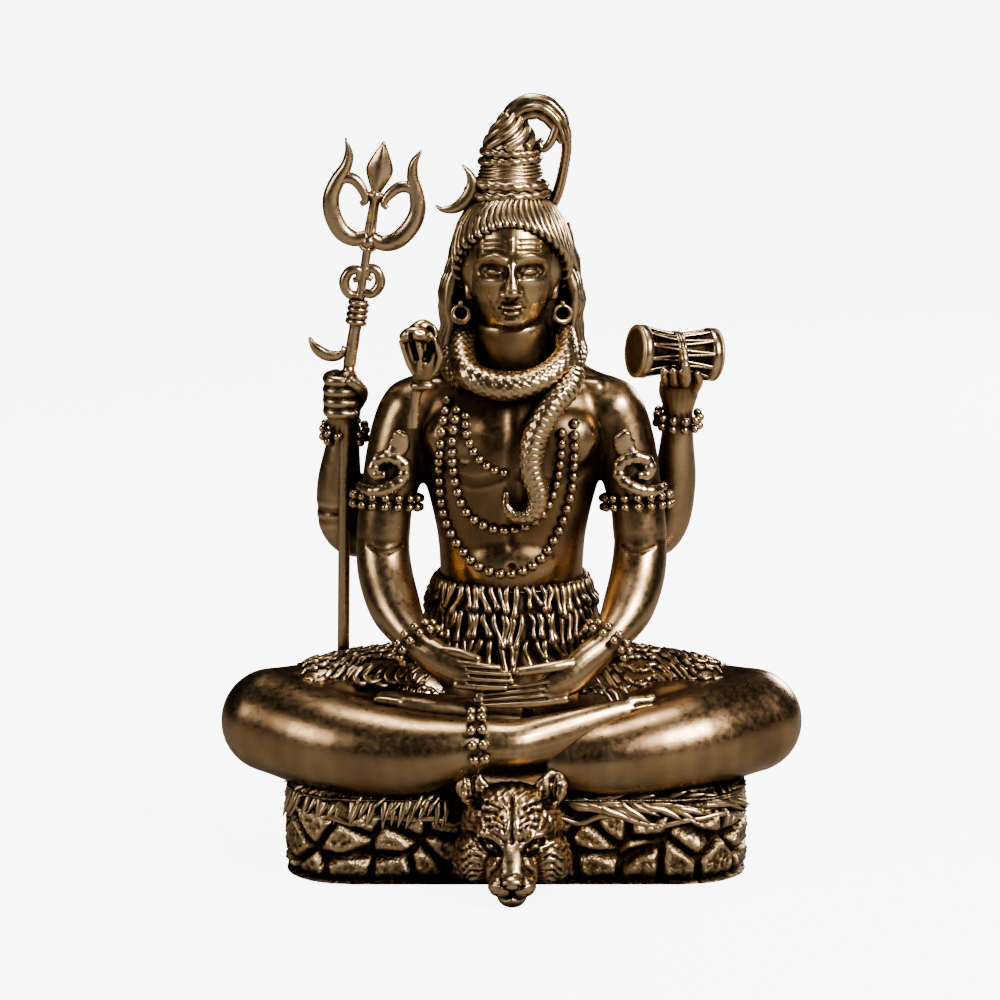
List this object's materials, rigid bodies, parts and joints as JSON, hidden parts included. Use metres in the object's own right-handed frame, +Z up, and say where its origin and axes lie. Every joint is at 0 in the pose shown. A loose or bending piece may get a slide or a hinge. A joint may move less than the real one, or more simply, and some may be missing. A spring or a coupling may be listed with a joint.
{
  "type": "seated deity figurine",
  "caption": "Small cast brass figurine of a seated four-armed deity on a rock base, with a trident that lifts out of one fist and turns.",
  "frame": {"origin": "middle of the base's underside, the face it rests on", "axes": "+Z up, -Y the way the figure faces, +X towards the figure's own left hand"},
  "size_m": [0.0756, 0.0485, 0.0996],
  "materials": {
    "skin_brass": "worn smooth antique brass with brown lacquer",
    "hide_brass": "antique brass, dark in the carved grooves",
    "hair_brass": "antique brass, dark in the carved grooves",
    "ornament_brass": "antique brass, rubbed bright on the high spots",
    "dark_cast_brass": "pitted dark antique brass casting",
    "screw_steel": "plain steel screw"
  },
  "bodies": {
    "figure": {"rock_base": "dark_cast_brass", "base_screws": "screw_steel", "tiger_skin": "hide_brass", "tiger_head": "hide_brass", "hips": "skin_brass", "waist_hide": "hide_brass", "thigh_hide_right": "hide_brass", "thigh_hide_left": "hide_brass", "leg_right": "skin_brass", "leg_left": "skin_brass", "foot_right": "skin_brass", "foot_left": "skin_brass", "torso": "skin_brass", "front_shoulder_right": "skin_brass", "front_shoulder_left": "skin_brass", "front_arm_right": "skin_brass", "front_arm_left": "skin_brass", "front_hand_right": "skin_brass", "front_hand_left": "skin_brass", "rear_arm_right": "skin_brass", "rear_arm_left": "skin_brass", "rear_hand_right": "skin_brass", "rear_hand_left": "skin_brass", "drum_shell": "ornament_brass", "drum_skins": "ornament_brass", "drum_lacing": "ornament_brass", "head": "skin_brass", "hair_cap": "hair_brass", "hair_bun": "hair_brass", "hair_locks": "hair_brass", "cobra_coil": "ornament_brass", "cobra_hood": "ornament_brass", "cobra_tail": "ornament_brass", "long_mala": "ornament_brass", "middle_mala": "ornament_brass", "short_mala": "ornament_brass", "armlet_right": "ornament_brass", "armlet_left": "ornament_brass", "anklet": "ornament_brass", "bracelet_front_right": "ornament_brass", "bracelet_front_left": "ornament_brass", "bracelet_rear_right": "ornament_brass", "bracelet_rear_left": "ornament_brass", "earring_right": "ornament_brass", "earring_left": "ornament_brass", "crescent_moon": "ornament_brass", "river_arch": "ornament_brass", "river_stream": "ornament_brass", "lower_staff": "ornament_brass"},
    "trident_tang": {"trident_tang": "ornament_brass"},
    "trident": {"trident_stem": "ornament_brass", "stem_binding": "ornament_brass", "scroll_emblem": "ornament_brass", "trident_ball": "ornament_brass", "trident_prongs": "ornament_brass", "sash_tail": "ornament_brass"}
  },
  "joints": [
    {"name": "trident_lift", "type": "slide", "parent": "figure", "child": "trident_tang", "axis": [0.1595, -0.0657, 0.985], "range_m": [0, 0.012]},
    {"name": "trident_turn", "type": "hinge", "parent": "trident_tang", "child": "trident", "pos_m": [-0.0222, 0.003, 0.0606], "axis": [0.1595, -0.0657, 0.985], "continuous": true}
  ]
}
